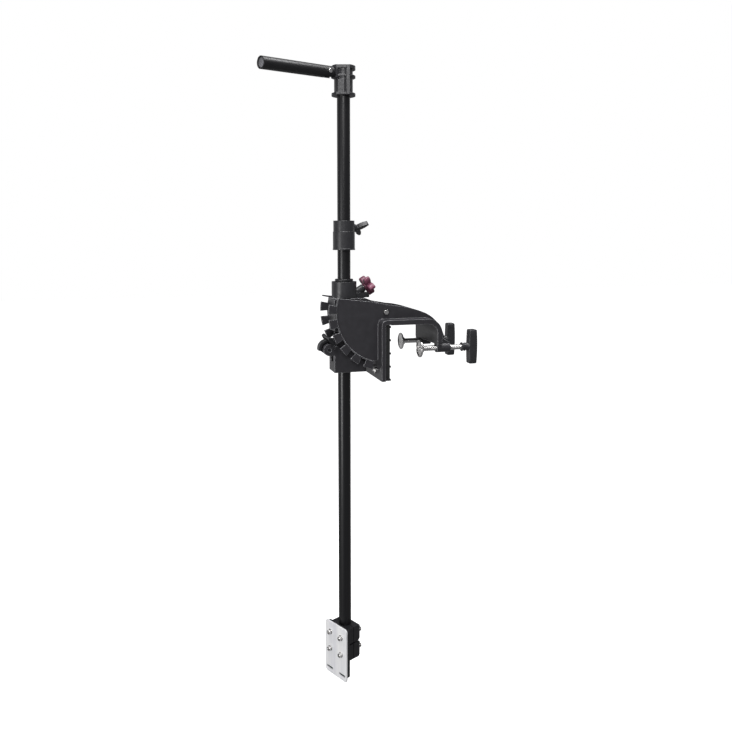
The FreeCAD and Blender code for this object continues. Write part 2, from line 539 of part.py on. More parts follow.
def latch():
    """Lever on its pin between the ears, its two springs, and the yoke whose pins lock in the notches."""
    centre_x, centre_z = latch_centre()
    hub_at = Vector(centre_x, -d.lever_hub_half, centre_z)
    label(cylinder("latch_pin_body", "latch_pin_rad", "latch_pin_long",
                   Vector(centre_x, -d.latch_pin_long / 2, centre_z), ALONG_Y), "latch_pin")
    tip, tail = 130, -10
    hook = side_prism("hook", "lever_half * 2", polar(centre_x, centre_z, d.lever_inner, -tip), [
        (polar(centre_x, centre_z, d.lever_outer, -tip),),
        arc_points(centre_x, centre_z, d.lever_outer, -tip, -tail),
        (polar(centre_x, centre_z, d.lever_inner, -tail),),
        arc_points(centre_x, centre_z, d.lever_inner, -tail, -tip),
    ])
    hub = cylinder("lever_hub", "lever_hub_rad", "lever_hub_half * 2", hub_at, ALONG_Y)
    web = box("lever_web", "lever_inner - 4", "lever_hub_half * 2", "6", Vector())
    web.Placement = Placement(Vector(centre_x, -d.lever_hub_half, centre_z), Rotation(ALONG_Y, 180 - 6)) \
        * Placement(Vector(6, 0, -3), Rotation())
    bore = cylinder("lever_bore", "latch_pin_rad + running_gap", "lever_hub_half * 2 + 2",
                    hub_at - ALONG_Y, ALONG_Y)
    label(cut("lever_bored", fuse("lever_solid", [hook, hub, web]), [bore]), "latch_lever")
    springs = []
    for side in SIDES:
        start = Vector(centre_x, side * (d.lever_hub_half + 0.3), centre_z)
        springs.append(tube("latch_spring", "latch_pin_rad + 2.5", "latch_pin_rad + 0.3",
                            "ear_inner - lever_hub_half - 0.6", start, Vector(0, side, 0)))
    label(group("latch_spring_pair", springs), "latch_springs")
    lock_x, lock_z = polar(d.pivot_x, d.pivot_z, d.lock_reach, d.latch_angle)
    turn = math.radians(d.latch_angle)
    rod_x, rod_z = lock_x - d.yoke_arm * math.sin(turn), lock_z + d.yoke_arm * math.cos(turn)
    members = [cylinder("yoke_rod", "yoke_rod_rad", "(yoke_inner + yoke_thick) * 2",
                        Vector(rod_x, -d.yoke_inner - d.yoke_thick, rod_z), ALONG_Y)]
    for side in SIDES:
        across = Vector(0, side, 0)
        inner = side * d.yoke_inner
        members.append(cylinder("lock_stub", "lock_rad", "lock_end - yoke_inner", Vector(lock_x, inner, lock_z), across))
        members.append(cylinder("yoke_eye", "lock_rad + 1", "yoke_thick", Vector(lock_x, inner, lock_z), across))
        members.append(cylinder("yoke_top", "lock_rad", "yoke_thick", Vector(rod_x, inner, rod_z), across))
        arm = box("yoke_arm_plate", "yoke_arm", "yoke_thick", "lock_rad * 2", Vector())
        low = min(inner, inner + side * d.yoke_thick)
        arm.Placement = Placement(Vector(lock_x, low, lock_z), Rotation(ALONG_Y, -90 - d.latch_angle)) \
            * Placement(Vector(0, 0, -d.lock_rad), Rotation())
        members.append(arm)
    label(fuse("yoke_solid", members), "lock_yoke")


def shaft():
    """Straight tube with an end plug in its top and its foot."""
    foot = Vector(d.shaft_x, 0, d.shaft_foot)
    label(tube("shaft_body", "shaft_dia / 2", "shaft_dia / 2 - shaft_wall", "shaft_top - shaft_foot", foot),
          "shaft_tube")
    bore = "shaft_dia / 2 - shaft_wall - 0.02"
    label(cylinder("top_plug_body", bore, "plug_deep", Vector(d.shaft_x, 0, d.shaft_top - d.plug_deep)), "top_plug")
    barrel = cylinder("foot_plug_barrel", bore, "plug_deep", foot)
    lip = cylinder("foot_plug_lip", "shaft_dia / 2", "3", foot - UP * 3)
    label(fuse("foot_plug_body", [barrel, lip]), "foot_plug")


def head_cap():
    """Moulded head: three flanges with flat sides on a round core, joined by a rib, and the handle's socket."""
    core = cylinder("cap_core", "cap_core_rad", "cap_top - cap_foot - 1", Vector(0, 0, d.cap_foot), UP, CAP_FACE)
    flanges = [
        cylinder("cap_rim_flange", "cap_flange_rad", "cap_flange + 1", Vector(0, 0, d.cap_foot), UP, CAP_FACE),
        cylinder("cap_middle_flange", "cap_flange_rad", "cap_flange", Vector(0, 0, d.cap_middle), UP, CAP_FACE),
        cylinder("cap_top_flange", "cap_flange_rad", "cap_crown", Vector(0, 0, d.cap_top - d.cap_crown), UP, CAP_FACE),
    ]
    trims = [box("cap_trim", "20", "60", "cap_top - cap_foot + 10",
                 Vector(d.cap_flat if side > 0 else -d.cap_flat - 20, -30, d.cap_foot - 5), CAP_FACE) for side in SIDES]
    members = [core, cut("cap_flanges", fuse("cap_rings", flanges), trims)]
    for side in SIDES:
        turned = CAP_FACE * Placement(Vector(), Rotation(UP, 90 - 90 * side))
        members.append(box("cap_rib", "cap_flat - 8.5", "cap_rib_out - cap_rib_in", "cap_top - cap_foot - 1.5",
                           Vector(9, d.cap_rib_in, d.cap_foot + 0.5), turned))
        members.append(box("cap_pad", "cap_flat - 9.2", "cap_pad_half * 2", "cap_middle - cap_foot - 10",
                           Vector(9, -1.5 * d.cap_pad_half, d.cap_foot + 4), turned))
    members.append(box("handle_socket", "socket_end - 10", "socket_half * 2", "socket_tall * 2",
                       Vector(10, -d.socket_half, d.handle_z - d.socket_tall), POLE))
    tools = [
        cylinder("cap_bore", "shaft_dia / 2 + 0.02", "shaft_top - cap_foot + 1.2", Vector(0, 0, d.cap_foot - 1), UP,
                 POLE),
        box("tongue_seat", "30", "tongue_half * 2 + 0.04", "tongue_rad * 2 + 0.04",
            Vector(d.shaft_dia / 2 + 1, -d.tongue_half - 0.02, d.handle_z - d.tongue_rad - 0.02), POLE),
        cylinder("cap_screw_hole", "cup_screw_rad + 0.02", "14", Vector(-14, 0, d.cap_foot + 20), Vector(-1, 0, 0),
                 POLE),
    ]
    label(cut("cap_cut", fuse("cap_solid", members), tools), "head_cap")
    label(cylinder("head_screw_body", "cup_screw_rad", "6", Vector(-14.4, 0, d.cap_foot + 20), Vector(-1, 0, 0), POLE),
          "head_screw")


def handle():
    """Grip tube on the tongue that juts from the cap, with its end plug, pivot screw and nut."""
    level = POLE * Placement(Vector(d.handle_pivot, 0, d.handle_z), Rotation())
    seat = d.shaft_dia / 2 + 1.2
    blade = box("tongue_blade", f"handle_pivot - {seat}", "tongue_half * 2", "tongue_rad * 2",
                Vector(seat - d.handle_pivot, -d.tongue_half, -d.tongue_rad), level)
    eye = cylinder("tongue_eye", "tongue_rad", "tongue_half * 2", Vector(0, -d.tongue_half, 0), ALONG_Y, level)
    hole = cylinder("tongue_bore", "handle_screw_rad + running_gap", "tongue_half * 2 + 2",
                    Vector(0, -d.tongue_half - 1, 0), ALONG_Y, level)
    label(cut("tongue_bored", fuse("tongue_solid", [blade, eye]), [hole]), "handle_tongue")
    frame = level * Placement(Vector(), Rotation(ALONG_Y, d.handle_droop))
    outer = cylinder("grip_outer", "handle_rad", "handle_long", Vector(d.handle_start, 0, 0), ALONG_X, frame)
    tools = [
        cylinder("grip_bore", "handle_rad - handle_wall", "handle_long", Vector(d.handle_start, 0, 0), ALONG_X, frame),
        box("fold_slot", "9 - handle_start + 2", "fold_slot_half * 2", "handle_rad + 2",
            Vector(d.handle_start - 2, -d.fold_slot_half, -d.handle_rad - 2), frame),
        cylinder("grip_cross", "handle_screw_rad + 0.02", "handle_rad * 2 + 4", Vector(0, -d.handle_rad - 2, 0),
                 ALONG_Y, frame),
    ]
    label(cut("grip_cut", outer, tools), "handle_tube")
    label(cylinder("end_plug_body", "handle_rad - handle_wall - 0.02", "10",
                   Vector(d.handle_start + d.handle_long - 12, 0, 0), ALONG_X, frame), "handle_end_plug")
    shank = cylinder("handle_screw_shank", "handle_screw_rad", "handle_rad * 2 + hex_thick + 1.5",
                     Vector(0, -d.handle_rad - d.hex_thick - 1, 0), ALONG_Y, frame)
    head = cylinder("handle_screw_head", "handle_screw_rad + 1.5", "2.5", Vector(0, d.handle_rad, 0), ALONG_Y, frame)
    label(fuse("handle_screw_body", [shank, head]), "handle_pivot_screw")
    nut_at = Vector(0, -d.handle_rad - d.hex_thick, 0)
    nut_bore = cylinder("handle_nut_bore", "handle_screw_rad", "hex_thick", nut_at, ALONG_Y, frame)
    label(cut("handle_nut_body", hexagon("handle_nut_hex", "hex_flats", "hex_thick", nut_at, ALONG_Y, frame),
              [nut_bore]), "handle_pivot_nut")


def depth_collar():
    """Collar that sets the depth on the shaft, with its insert and wing screw."""
    foot = Vector(0, 0, d.collar_foot)
    lower = cylinder("collar_lower", "collar_rad", "collar_ledge - collar_foot", foot, UP, COLLAR)
    upper = cylinder("collar_upper", "collar_upper_rad", "collar_top - collar_foot", foot, UP, COLLAR)
    lip = cylinder("collar_lip", "collar_rad + 0.6", "3", foot, UP, COLLAR)
    boss = cylinder("wing_boss", "wing_boss_rad", "wing_boss_end - 18", Vector(18, 0, d.wing_z), ALONG_X, COLLAR)
    tools = [
        cylinder("collar_bore", "shaft_dia / 2 + running_gap", "collar_top - collar_foot + 2", foot - UP, UP, COLLAR),
        cylinder("wing_seat", "wing_insert_rad + 0.02", "20", Vector(17, 0, d.wing_z), ALONG_X, COLLAR),
        cylinder("wing_window", "wing_insert_rad - 1.5", "10", Vector(10, 0, d.wing_z), ALONG_X, COLLAR),
    ]
    label(cut("collar_cut", fuse("collar_solid", [lower, upper, lip, boss]), tools), "depth_collar")
    label(tube("wing_insert_body", "wing_insert_rad", "wing_stud_rad + running_gap", "12", Vector(17.1, 0, d.wing_z),
               ALONG_X, COLLAR), "collar_insert")
    label(cylinder("wing_shoe_body", "wing_stud_rad - 0.1", "1.6", Vector(14.9, 0, d.wing_z), ALONG_X, COLLAR),
          "wing_shoe")
    label(cylinder("wing_stud_body", "wing_stud_rad", "21", Vector(16.7, 0, d.wing_z), ALONG_X, COLLAR), "wing_stud")
    label(wing_knob(), "wing_knob")


def wing_knob():
    """Hub with two ears that flare outwards from the screw's own line."""
    spin = COLLAR * Placement(Vector(d.wing_boss_end + 0.6, 0, d.wing_z), Rotation(ALONG_X, 90 - d.wing_roll))
    hub = cylinder("wing_hub", "wing_hub_rad", "wing_hub_long", Vector(), ALONG_X, spin)
    members = [hub]
    for side in SIDES:
        half = d.wing_wide / 2
        ear = side_prism("wing_ear", "wing_thick", (0, -half * 0.7), [
            ((d.wing_reach * 0.45, -half), (d.wing_reach - half * 0.6, -half * 0.5)),
            ((d.wing_reach, 0), (d.wing_reach - half * 0.6, half * 0.5)),
            ((d.wing_reach * 0.45, half), (0, half * 0.7)),
        ])
        ear.Placement = spin * Placement(Vector(4.5, 0, 0), Rotation(ALONG_Y, side * d.wing_flare))
        members.append(ear)
    bore = cylinder("wing_bore", "wing_stud_rad", "6.2", Vector(-0.1, 0, 0), ALONG_X, spin)
    return cut("wing_bored", fuse("wing_solid", members), [bore])


def bolt_spots(at_x):
    return [Vector(at_x, side * d.screw_column, row) for row in (d.upper_row, d.lower_row) for side in SIDES]


def transducer_mount():
    """Slotted plate, backing plate and two pairs of clamp blocks bolted round the shaft."""
    back = d.mount_face - d.mount_thick
    holes = [cylinder("mount_hole", "m6_rad + 0.05", "80", spot, ALONG_X, POLE) for spot in bolt_spots(-40)]
    plate = rounded_plate("mount_plate", back, "mount_thick", d.mount_half, d.mount_top, d.mount_foot)
    slots = []
    for side in SIDES:
        half = (d.slot_long - d.slot_wide) / 2
        middle = side * d.slot_side
        slots.append(box("slot", "mount_thick + backing_thick + 2", "slot_long - slot_wide", "slot_wide",
                         Vector(back - d.backing_thick - 1, middle - half, d.slot_z - d.slot_wide / 2), POLE))
        for end in SIDES:
            slots.append(cylinder("slot_end", "slot_wide / 2", "mount_thick + backing_thick + 2",
                                  Vector(back - d.backing_thick - 1, middle + end * half, d.slot_z), ALONG_X, POLE))
    label(cut("mount_plate_cut", plate, holes + slots), "transducer_plate")
    backing = rounded_plate("backing", back - d.backing_thick, "backing_thick", d.backing_half, d.mount_top - 3,
                            d.backing_foot)
    label(cut("backing_cut", backing, holes + slots), "backing_plate")
    for word, row in (("upper", d.upper_row), ("lower", d.lower_row)):
        clamp_pair(word, row, back - d.backing_thick, holes)
    mount_fasteners(back)


def rounded_plate(name, at_x, thick, half, top, foot):
    """Upright plate with rounded corners, its face along the pole's own X."""
    plate = box(name + "_blank", thick, f"{2 * half}", f"{top - foot}", Vector(at_x, -half, foot), POLE)
    rounded = doc.addObject("Part::Fillet", name + "_round")
    rounded.Base = plate
    doc.recompute()
    across = POLE.Rotation.multVec(ALONG_X)
    corners = [number for number, edge in enumerate(plate.Shape.Edges, start=1)
               if abs(edge.tangentAt(edge.FirstParameter).dot(across)) > 0.99]
    rounded.Edges = [(number, d.corner_rad, d.corner_rad) for number in corners]
    return rounded


def clamp_pair(word, row, front, holes):
    """Front and rear half of one split block, bored to grip the shaft."""
    low = row - d.clamp_tall / 2
    bore = cylinder("clamp_bore", "shaft_dia / 2 + 0.02", "clamp_tall + 2", Vector(0, 0, low - 1), UP, POLE)
    fore = box("clamp_fore", f"{front} - clamp_split", "clamp_half * 2", "clamp_tall",
               Vector(d.clamp_split, -d.clamp_half, low), POLE)
    rear = box("clamp_rear", "clamp_back - clamp_split", "clamp_half * 2", "clamp_tall",
               Vector(-d.clamp_back, -d.clamp_half, low), POLE)
    rounded = doc.addObject("Part::Fillet", "clamp_rear_round")
    rounded.Base = rear
    doc.recompute()
    back_face = POLE.multVec(Vector(-d.clamp_back, 0, row))
    normal = POLE.Rotation.multVec(ALONG_X)
    edges = [number for number, edge in enumerate(rear.Shape.Edges, start=1)
             if abs((edge.CenterOfMass - back_face).dot(normal)) < 0.01]
    rounded.Edges = [(number, d.clamp_round, d.clamp_round) for number in edges]
    label(cut("clamp_fore_cut", fore, [bore] + holes), f"{word}_clamp_front")
    label(cut("clamp_rear_cut", rounded, [bore] + holes), f"{word}_clamp_rear")


def mount_fasteners(back):
    """Four socket screws with washers in front and nuts behind."""
    screws, washers, nuts = [], [], []
    reach = -d.clamp_back - d.hex_thick - 2
    for spot in bolt_spots(0):
        face = spot + Vector(d.mount_face, 0, 0)
        shank = cylinder("mount_shank", "m6_rad", f"mount_face + 1.6 - ({reach})", spot + Vector(reach, 0, 0),
                         ALONG_X, POLE)
        head = cylinder("mount_head", "cap_head_rad", "cap_head_tall", face + Vector(1.6, 0, 0), ALONG_X, POLE)
        hexagon_cut = hexagon("mount_socket", "m6_rad * 5 / 3", "3.5", face + Vector(1.6 + d.cap_head_tall - 3.4, 0, 0),
                              ALONG_X, POLE)
        screws.append(cut("mount_screw", fuse("mount_screw_solid", [shank, head]), [hexagon_cut]))
        washers.append(tube("mount_washer", "m6_washer_rad", "m6_rad + 0.05", "1.6", face, ALONG_X, POLE))
        nut_at = spot + Vector(-d.clamp_back - d.hex_thick, 0, 0)
        nut_bore = cylinder("mount_nut_bore", "m6_rad", "hex_thick", nut_at, ALONG_X, POLE)
        nuts.append(cut("mount_nut", hexagon("mount_nut_hex", "hex_flats", "hex_thick", nut_at, ALONG_X, POLE),
                        [nut_bore]))
    label(group("mount_screw_set", screws), "mount_screws")
    label(group("mount_washer_set", washers), "mount_washers")
    label(group("mount_nut_set", nuts), "mount_nuts")


def check_and_write():
    """Stop on any failed object or bad shape, then write one STEP file per piece."""
    doc.recompute()
    failed = [obj.Name for obj in doc.Objects if {"Invalid", "Error"} & set(obj.State)]
    if failed:
        raise RuntimeError("failed objects: " + ", ".join(failed))
    for name, obj in PIECES:
        if obj.Shape.isNull() or not obj.Shape.isValid() or not obj.Shape.Solids:
            raise RuntimeError("bad shape: " + name)
    for name, obj in PIECES:
        obj.Shape.exportStep(f"parts/{name}.step")


clamp_bracket()
transom_pad()
pad_screws()
pivot_hardware()
clamp_screws()
hinge_housing()
stop_screw()
steering_cup()
tension_screw()
bushes()
latch()
shaft()
head_cap()
handle()
depth_collar()
transducer_mount()
check_and_write()
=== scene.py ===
"""Looks of the transducer pole: finishes, detailed screws, grips and springs, studio and camera."""
import json
import math

import bmesh
import bpy
from mathutils import Matrix, Vector


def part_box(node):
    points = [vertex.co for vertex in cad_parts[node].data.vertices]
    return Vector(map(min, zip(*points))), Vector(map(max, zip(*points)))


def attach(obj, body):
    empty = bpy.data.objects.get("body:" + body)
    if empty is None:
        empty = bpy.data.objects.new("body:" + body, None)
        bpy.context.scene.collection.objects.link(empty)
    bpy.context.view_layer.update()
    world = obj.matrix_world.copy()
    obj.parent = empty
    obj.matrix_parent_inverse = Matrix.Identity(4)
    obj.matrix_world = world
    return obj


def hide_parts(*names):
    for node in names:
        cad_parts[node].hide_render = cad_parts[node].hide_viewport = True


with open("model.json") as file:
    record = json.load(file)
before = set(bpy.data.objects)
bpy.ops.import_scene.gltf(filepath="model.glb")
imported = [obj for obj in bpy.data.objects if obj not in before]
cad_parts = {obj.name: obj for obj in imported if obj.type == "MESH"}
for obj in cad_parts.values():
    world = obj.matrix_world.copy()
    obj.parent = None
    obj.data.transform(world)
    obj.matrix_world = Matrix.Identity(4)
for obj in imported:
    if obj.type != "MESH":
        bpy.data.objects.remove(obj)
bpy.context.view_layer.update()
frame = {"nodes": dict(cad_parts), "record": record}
NODES = frame["nodes"]
RECORD = frame["record"]
SLOT_OF = {row["node"]: row["material_slot"] for row in RECORD["subparts"]}
BODY_OF = {node: body for body, members in RECORD["behaviour"]["bodies"].items() for node in members}
JOINTS = {joint["name"]: joint for joint in RECORD["behaviour"]["joints"]}
MM = 0.001
TURN = 2 * math.pi


# Finishes. Colours are linear. Sizes of grain, mottle and edges are in millimetres. Edge wear and painted
# edge highlight go by the cosine between the rounded normal and the face's own.

EDGE_ROUND = 1.5
EDGE_SAMPLES = 6
WEAR_AND_HIGHLIGHT_STARTS_AT = 0.99
WEAR_AND_HIGHLIGHT_FULL_AT = 0.88
WEAR_AND_HIGHLIGHT_BREAK_SIZE = 6
MOTTLE_SIZE = 14
MOTTLE_SHARE = 0.14
GLOSS_SIZE = 5
GLOSS_SHARE = 0.15
BUMP_STRENGTH = 0.6

FINISHES = {
    # Casting: its light edge colour and large edge amount are a painted highlight along the rims, where a
    # top light would catch them.
    "casting_charcoal": dict(colour=(0.030, 0.029, 0.033), rough=0.34, grain=0.9, height=0.015, wear_and_highlight=0.9,
                             worn_and_highlight_colour=(0.42, 0.42, 0.44)),
    "moulded_charcoal": dict(colour=(0.026, 0.026, 0.029), rough=0.38, grain=0.8, height=0.010, wear_and_highlight=0.05,
                             worn_and_highlight_colour=(0.10, 0.10, 0.11)),
    "moulded_black": dict(colour=(0.014, 0.014, 0.016), rough=0.36, grain=0.8, height=0.010, wear_and_highlight=0.05,
                          worn_and_highlight_colour=(0.08, 0.08, 0.08)),
    "shaft_black": dict(colour=(0.006, 0.006, 0.007), rough=0.34, grain=1.2, height=0.003, wear_and_highlight=0.0,
                        worn_and_highlight_colour=(0.05, 0.05, 0.05), stretch=(1, 1, 0.02)),
    "grip_black": dict(colour=(0.009, 0.009, 0.010), rough=0.40, grain=0.9, height=0.002, wear_and_highlight=0.01,
                       worn_and_highlight_colour=(0.05, 0.05, 0.05)),
    "burgundy": dict(colour=(0.180, 0.052, 0.092), rough=0.42, grain=0.7, height=0.01, wear_and_highlight=0.05,
                     worn_and_highlight_colour=(0.28, 0.11, 0.16)),
    "pad_rubber": dict(colour=(0.012, 0.012, 0.013), rough=0.70, grain=0.8, height=0.10, wear_and_highlight=0.0,
                       worn_and_highlight_colour=(0.03, 0.03, 0.03)),
    "zinc_steel": dict(colour=(0.74, 0.73, 0.72), rough=0.24, grain=0.5, height=0.02, wear_and_highlight=0.06,
                       worn_and_highlight_colour=(0.90, 0.90, 0.90), metallic=1.0),
    # Plate: near-white and barely metallic, so its bright face is partly silver metal and partly a painted
    # reflection of the white surroundings.
    "plate_silver": dict(colour=(0.93, 0.93, 0.97), rough=0.42, grain=0.5, height=0.004, wear_and_highlight=0.05,
                         worn_and_highlight_colour=(0.97, 0.97, 0.97), metallic=0.1, stretch=(1, 1, 0.05)),
    "black_steel": dict(colour=(0.030, 0.030, 0.033), rough=0.34, grain=0.5, height=0.03, wear_and_highlight=0.10,
                        worn_and_highlight_colour=(0.25, 0.25, 0.26), metallic=0.6),
    "spring_steel": dict(colour=(0.50, 0.49, 0.48), rough=0.26, grain=0.3, height=0.01, wear_and_highlight=0.0,
                         worn_and_highlight_colour=(0.60, 0.60, 0.60), metallic=1.0),
    "brass": dict(colour=(0.58, 0.42, 0.16), rough=0.30, grain=0.5, height=0.02, wear_and_highlight=0.05,
                  worn_and_highlight_colour=(0.80, 0.64, 0.30), metallic=1.0),
    "bush_nylon": dict(colour=(0.016, 0.016, 0.018), rough=0.46, grain=0.6, height=0.04, wear_and_highlight=0.0,
                       worn_and_highlight_colour=(0.04, 0.04, 0.04)),
    "plug_grey": dict(colour=(0.16, 0.16, 0.17), rough=0.50, grain=0.7, height=0.05, wear_and_highlight=0.0,
                      worn_and_highlight_colour=(0.22, 0.22, 0.22)),
}


def add(material, kind, **settings):
    node = material.node_tree.nodes.new(kind)
    for key, value in settings.items():
        setattr(node, key, value)
    return node


def link(material, source, target):
    material.node_tree.links.new(source, target)


def noise(material, size, stretch=(1, 1, 1), detail=3.0):
    """Noise fixed to the piece, its features about size millimetres across."""
    place = add(material, "ShaderNodeTexCoord")
    mapping = add(material, "ShaderNodeMapping")
    mapping.inputs["Scale"].default_value = stretch
    texture = add(material, "ShaderNodeTexNoise")
    texture.inputs["Scale"].default_value = 1 / (size * MM)
    texture.inputs["Detail"].default_value = detail
    link(material, place.outputs["Object"], mapping.inputs["Vector"])
    link(material, mapping.outputs["Vector"], texture.inputs["Vector"])
    return texture.outputs["Fac"]


def spread(material, factor, low, high):
    """Maps the middle of a noise to a range of values."""
    scale = add(material, "ShaderNodeMapRange")
    scale.inputs["From Min"].default_value = 0.3
    scale.inputs["From Max"].default_value = 0.7
    scale.inputs["To Min"].default_value = low
    scale.inputs["To Max"].default_value = high
    link(material, factor, scale.inputs["Value"])
    return scale.outputs["Result"]


def mixed(material, factor, first, second):
    mix = add(material, "ShaderNodeMix", data_type="RGBA")
    link(material, factor, mix.inputs["Factor"])
    for socket, colour in ((mix.inputs["A"], first), (mix.inputs["B"], second)):
        if isinstance(colour, bpy.types.NodeSocket):
            link(material, colour, socket)
        else:
            socket.default_value = (*colour, 1)
    return mix.outputs["Result"]


def rounded_normal(material):
    """Normal that runs smoothly round sharp edges, as on a moulded or cast edge."""
    rounded = add(material, "ShaderNodeBevel", samples=EDGE_SAMPLES)
    rounded.inputs["Radius"].default_value = EDGE_ROUND * MM
    return rounded.outputs["Normal"]


def edge_wear_and_highlight(material, normal, amount):
    """Factor for edge wear and painted edge highlight, rising where the rounded normal leaves the face's
    own, broken up by noise.
    """
    face = add(material, "ShaderNodeNewGeometry")
    together = add(material, "ShaderNodeVectorMath", operation="DOT_PRODUCT")
    link(material, normal, together.inputs[0])
    link(material, face.outputs["Normal"], together.inputs[1])
    edge = add(material, "ShaderNodeMapRange")
    edge.inputs["From Min"].default_value = WEAR_AND_HIGHLIGHT_STARTS_AT
    edge.inputs["From Max"].default_value = WEAR_AND_HIGHLIGHT_FULL_AT
    edge.inputs["To Max"].default_value = amount
    link(material, together.outputs["Value"], edge.inputs["Value"])
    broken = add(material, "ShaderNodeMath", operation="MULTIPLY")
    link(material, edge.outputs["Result"], broken.inputs[0])
    link(material, spread(material, noise(material, WEAR_AND_HIGHLIGHT_BREAK_SIZE), 0.7, 1.3), broken.inputs[1])
    return broken.outputs["Value"]


def make_finish(slot, colour, rough, grain, height, wear_and_highlight, worn_and_highlight_colour, metallic=0.0, stretch=(1, 1, 1)):
    material = bpy.data.materials.new(slot)
    material.use_nodes = True
    shader = material.node_tree.nodes["Principled BSDF"]
    shader.inputs["Metallic"].default_value = metallic
    normal = rounded_normal(material)
    dark = tuple(value * (1 - MOTTLE_SHARE) for value in colour)
    light = tuple(min(1, value * (1 + MOTTLE_SHARE)) for value in colour)
    tone = mixed(material, spread(material, noise(material, MOTTLE_SIZE, stretch), 0, 1), dark, light)
    # Edges lighten towards the edge colour: real wear on most finishes, a painted highlight on the casting.
    tone = mixed(material, edge_wear_and_highlight(material, normal, wear_and_highlight), tone, worn_and_highlight_colour)
    link(material, tone, shader.inputs["Base Color"])
    gloss = noise(material, GLOSS_SIZE, stretch)
    link(material, spread(material, gloss, rough * (1 - GLOSS_SHARE), rough * (1 + GLOSS_SHARE)),
         shader.inputs["Roughness"])
    bump = add(material, "ShaderNodeBump")
    bump.inputs["Distance"].default_value = height * MM
    bump.inputs["Strength"].default_value = BUMP_STRENGTH
    link(material, noise(material, grain, stretch), bump.inputs["Height"])
    link(material, normal, bump.inputs["Normal"])
    link(material, bump.outputs["Normal"], shader.inputs["Normal"])
    return material


MATERIALS = {slot: make_finish(slot, **finish) for slot, finish in FINISHES.items()}


# Mesh tools. A ring is a closed loop of points, and a loft joins rings of the same count.

def axis_frame(origin, along, side=(0, 0, 1)):
    """Matrix whose local Z runs along a line and whose local X is as near to side as it can be."""
    z = Vector(along).normalized()
    x = (Vector(side) - z * Vector(side).dot(z)).normalized()
    y = z.cross(x)
    turn = Matrix((x, y, z)).transposed()
    return Matrix.Translation(Vector(origin)) @ turn.to_4x4()


def plain(radius):
    return lambda angle: radius * MM


def ring(place, height, radius_at, count):
    """Ring of points round local Z, its radius given for each angle."""
    points = []
    for index in range(count):
        angle = TURN * index / count
        radius = radius_at(angle)
        points.append(place @ Vector((radius * math.cos(angle), radius * math.sin(angle), height)))
    return points


def loft(mesh, rings):
    rows = [[mesh.verts.new(point) for point in points] for points in rings]
    count = len(rows[0])
    for low, high in zip(rows, rows[1:]):
        for index in range(count):
            after = (index + 1) % count
            mesh.faces.new((low[index], low[after], high[after], high[index]))
    mesh.faces.new(list(reversed(rows[0])))
    mesh.faces.new(rows[-1])


def lathe(mesh, place, profile, count=48):
    """Turned solid from (radius, height) points, in millimetres."""
    loft(mesh, [ring(place, height * MM, plain(radius), count) for radius, height in profile])


THREAD_FLANK = 1.7
THREAD_CREST = 0.35


def thread(mesh, place, start, end, radius, pitch, depth, count=32, steps=8):
    """Screw thread along local Z from start to end, in millimetres, with a lead at each end."""
    rows = []
    total = int((end - start) / pitch * steps)
    for step in range(total + 1):
        height = start + (end - start) * step / total
        lead = min(1.0, (height - start) / pitch, (end - height) / pitch)

        def radius_at(angle, height=height, lead=lead):
            phase = (height / pitch - angle / TURN) % 1.0
            valley = min(1.0, max(0.0, THREAD_FLANK * abs(2 * phase - 1) - THREAD_CREST))
            return (radius - depth * max(valley, 1 - lead)) * MM

        rows.append(ring(place, height * MM, radius_at, count))
    loft(mesh, rows)


def finish_piece(name, mesh, slot, body, nodes, smooth=40):
    """Turns the mesh into a piece with its finish that stands for its CAD nodes."""
    bmesh.ops.recalc_face_normals(mesh, faces=mesh.faces)
    data = bpy.data.meshes.new(name)
    mesh.to_mesh(data)
    mesh.free()
    piece = bpy.data.objects.new(name, data)
    bpy.context.scene.collection.objects.link(piece)
    for polygon in data.polygons:
        polygon.use_smooth = True
    data.set_sharp_from_angle(angle=math.radians(smooth))
    data.materials.append(MATERIALS[slot])
    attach(piece, body)
    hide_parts(*nodes)
    return piece


# CAD nodes whose shape is right: their own finish, and small radii in millimetres on their edges.

WELD_GAP = 0.002
FLAT_ANGLE = math.radians(0.5)
EDGE_ANGLE = math.radians(32)
EDGE_STEPS = 2
EDGE_RADII = {
    "clamp_bracket": 1.2, "hinge_housing": 0.8, "steering_cup": 0.8, "head_cap": 0.7, "depth_collar": 0.6,
    "latch_lever": 1.2, "lock_yoke": 0.8, "wing_knob": 1.0, "transducer_plate": 0.4, "backing_plate": 0.8,
    "upper_clamp_front": 1.2, "upper_clamp_rear": 1.2, "lower_clamp_front": 1.2, "lower_clamp_rear": 1.2,
    "handle_tube": 0.5, "handle_tongue": 1.0, "handle_end_plug": 0.5, "handle_pivot_screw": 0.6,
    "transom_pad": 0.5, "steering_bush": 0.6, "foot_plug": 0.5,
    "pivot_bolt": 0.5, "pivot_nut": 0.5, "handle_pivot_nut": 0.5, "mount_nuts": 0.5, "tilt_stop_nut": 0.5,
    "pivot_washers": 0.2, "mount_washers": 0.2, "lower_bush": 0.4, "latch_pin": 0.5,
}


def dress_node(node, piece):
    slot = SLOT_OF[node]
    piece.data.materials.clear()
    piece.data.materials.append(MATERIALS[slot])
    if node not in EDGE_RADII:
        return
    weld = piece.modifiers.new("weld", "WELD")
    weld.merge_threshold = WELD_GAP * MM
    flat = piece.modifiers.new("flat", "DECIMATE")
    flat.decimate_type = "DISSOLVE"
    flat.angle_limit = FLAT_ANGLE
    bevel = piece.modifiers.new("bevel", "BEVEL")
    bevel.width = EDGE_RADII[node] * MM
    bevel.segments = EDGE_STEPS
    bevel.use_clamp_overlap = True
    bevel.limit_method = "ANGLE"
    bevel.angle_limit = EDGE_ANGLE
    normals = piece.modifiers.new("normals", "WEIGHTED_NORMAL")
    normals.keep_sharp = False


# Clamp screws: rolled thread on the rods, sunk swivel discs, moulded T-handles.

